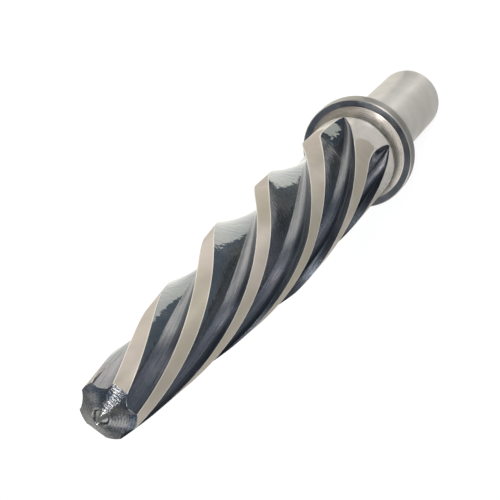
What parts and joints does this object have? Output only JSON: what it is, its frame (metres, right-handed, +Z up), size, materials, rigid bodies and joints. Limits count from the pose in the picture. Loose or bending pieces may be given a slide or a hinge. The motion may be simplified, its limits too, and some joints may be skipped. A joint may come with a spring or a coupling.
{
  "type": "bridge reamer",
  "caption": "Tapered bridge reamer with left-hand helical flutes, a round collar, a straight driving shank and a pointed male centre on its tip.",
  "frame": {"origin": "centre of the shank's end face, which the tool stands on", "axes": "+Z up the tool's axis, from the shank end to the tip; +X towards the cutting edge of the first tooth at the tip rim"},
  "size_m": [0.0308, 0.0308, 0.1975],
  "materials": {
    "tool_steel": "ground bright on the lands, neck and shank; blued and glossy in the flutes"
  },
  "bodies": {
    "root": {"reamer": "tool_steel"}
  },
  "joints": []
}
